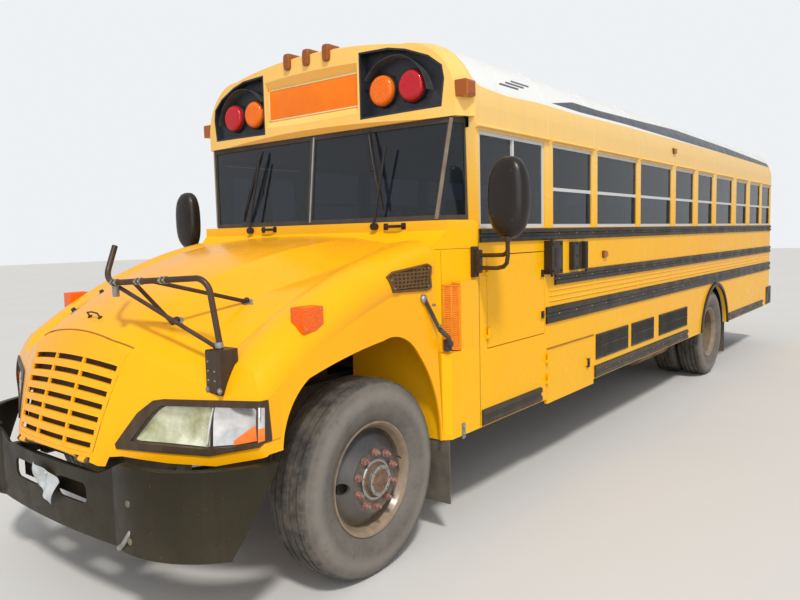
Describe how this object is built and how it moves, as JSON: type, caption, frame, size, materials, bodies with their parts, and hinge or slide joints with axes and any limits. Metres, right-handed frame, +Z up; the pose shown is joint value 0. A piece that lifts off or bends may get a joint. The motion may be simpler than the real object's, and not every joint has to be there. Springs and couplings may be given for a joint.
{
  "type": "school bus",
  "caption": "Full-size conventional school bus with a tilting hood, steered front wheels, twin rear wheels, outward entry doors, rear exit door and roof hatches.",
  "frame": {"origin": "on the ground under the middle of the overall length, on the centre line", "axes": "+Y to the rear of the bus, +X to the driver's side, +Z up"},
  "size_m": [3.244, 10.7348, 3.102],
  "materials": {
    "body_yellow": "gloss",
    "roof_white": "satin",
    "hood_yellow": "gloss",
    "frame_black": "satin",
    "trim_black": "satin",
    "plastic_black": "satin",
    "dark_glass": "gloss",
    "lens_clear": "gloss",
    "lens_amber": "gloss",
    "lens_red": "gloss",
    "tyre": "matte",
    "rubber": "matte",
    "wheel_steel": "worn gloss",
    "sash_metal": "satin",
    "seat_vinyl": "satin",
    "seat_steel": "satin",
    "raw_metal": "rough",
    "rusty_steel": "rusty",
    "tank_steel": "satin",
    "vent_brown": "satin"
  },
  "bodies": {
    "chassis": {"frame_rails": "frame_black", "body_floor": "frame_black", "side_wall_left": "body_yellow", "side_wall_right": "body_yellow", "roof": "roof_white", "front_cap": "body_yellow", "rear_wall": "body_yellow", "cowl": "body_yellow", "dash": "plastic_black", "windshield_frame": "rubber", "window_sashes": "sash_metal", "body_glass": "dark_glass", "rub_rails": "trim_black", "skirt_grilles": "trim_black", "stop_arm_box": "trim_black", "stepwell": "frame_black", "seats": "seat_vinyl", "seat_frames": "seat_steel", "front_bumper": "trim_black", "rear_bumper": "trim_black", "engine_block": "raw_metal", "radiator": "raw_metal", "driveline": "raw_metal", "fuel_tank": "tank_steel", "exhaust": "rusty_steel", "front_axle": "frame_black", "rear_axle": "frame_black", "rear_view_mirrors": "plastic_black", "wipers": "plastic_black", "lamp_hoods": "plastic_black", "amber_lamps": "lens_amber", "red_lamps": "lens_red", "mud_flaps": "rubber"},
    "hood": {"hood": "hood_yellow", "grille": "hood_yellow", "headlamp_bezels": "plastic_black", "headlamps": "lens_clear", "mirror_frames": "frame_black", "hood_vents": "vent_brown", "turn_lamps": "lens_amber"},
    "entry_front": {"entry_leaf_front": "body_yellow", "entry_glass_front": "dark_glass"},
    "entry_rear": {"entry_leaf_rear": "body_yellow", "entry_glass_rear": "dark_glass"},
    "rear_exit": {"rear_door": "body_yellow", "rear_door_glass": "dark_glass"},
    "battery_lid": {"battery_door": "body_yellow"},
    "electrical_lid": {"electrical_door": "body_yellow"},
    "hatch_front": {"roof_hatch_front": "roof_white"},
    "hatch_rear": {"roof_hatch_rear": "roof_white"},
    "steer_left": {"knuckle_left": "frame_black"},
    "front_roll_left": {"front_wheel_left": "wheel_steel", "front_tyre_left": "tyre"},
    "rear_roll_left": {"rear_wheels_left": "wheel_steel", "rear_tyres_left": "tyre"},
    "steer_right": {"knuckle_right": "frame_black"},
    "front_roll_right": {"front_wheel_right": "wheel_steel", "front_tyre_right": "tyre"},
    "rear_roll_right": {"rear_wheels_right": "wheel_steel", "rear_tyres_right": "tyre"}
  },
  "joints": [
    {"name": "hood_tilt", "type": "hinge", "parent": "chassis", "child": "hood", "pos_m": [0, -5.3375, 0.761], "axis": [1, 0, 0], "range_deg": [0, 60]},
    {"name": "left_steering", "type": "hinge", "parent": "chassis", "child": "steer_left", "pos_m": [0.915, -4.2425, 0.52], "axis": [0, 0, 1], "range_deg": [-35, 35]},
    {"name": "front_left_spin", "type": "hinge", "parent": "steer_left", "child": "front_roll_left", "pos_m": [1.045, -4.2425, 0.52], "axis": [1, 0, 0], "continuous": true},
    {"name": "rear_left_spin", "type": "hinge", "parent": "chassis", "child": "rear_roll_left", "pos_m": [1.045, 2.1075, 0.52], "axis": [1, 0, 0], "continuous": true},
    {"name": "right_steering", "type": "hinge", "parent": "chassis", "child": "steer_right", "pos_m": [-0.915, -4.2425, 0.52], "axis": [0, 0, 1], "range_deg": [-35, 35]},
    {"name": "front_right_spin", "type": "hinge", "parent": "steer_right", "child": "front_roll_right", "pos_m": [-1.045, -4.2425, 0.52], "axis": [1, 0, 0], "continuous": true},
    {"name": "rear_right_spin", "type": "hinge", "parent": "chassis", "child": "rear_roll_right", "pos_m": [-1.045, 2.1075, 0.52], "axis": [1, 0, 0], "continuous": true},
    {"name": "entry_front_swing", "type": "hinge", "parent": "chassis", "child": "entry_front", "pos_m": [-1.233, -3.2475, 1.4], "axis": [0, 0, 1], "range_deg": [0, 88]},
    {"name": "entry_rear_swing", "type": "hinge", "parent": "chassis", "child": "entry_rear", "pos_m": [-1.233, -2.4115, 1.4], "axis": [0, 0, 1], "range_deg": [-88, 0]},
    {"name": "rear_exit_swing", "type": "hinge", "parent": "chassis", "child": "rear_exit", "pos_m": [-0.43, 5.2615, 1.6], "axis": [0, 0, 1], "range_deg": [0, 110]},
    {"name": "battery_swing", "type": "hinge", "parent": "chassis", "child": "battery_lid", "pos_m": [1.233, -2.3925, 0.75], "axis": [0, 0, 1], "range_deg": [-95, 0]},
    {"name": "electrical_swing", "type": "hinge", "parent": "chassis", "child": "electrical_lid", "pos_m": [1.233, -3.2025, 1.35], "axis": [0, 0, 1], "range_deg": [-90, 0]},
    {"name": "hatch_front_lift", "type": "hinge", "parent": "chassis", "child": "hatch_front", "pos_m": [0, -1.3825, 3.075], "axis": [1, 0, 0], "range_deg": [0, 80]},
    {"name": "hatch_rear_lift", "type": "hinge", "parent": "chassis", "child": "hatch_rear", "pos_m": [0, 3.1175, 3.075], "axis": [1, 0, 0], "range_deg": [0, 80]}
  ],
  "couplings": [
    {"joint": "right_steering", "follows": "left_steering", "ratio": 1},
    {"joint": "entry_rear_swing", "follows": "entry_front_swing", "ratio": -1}
  ]
}
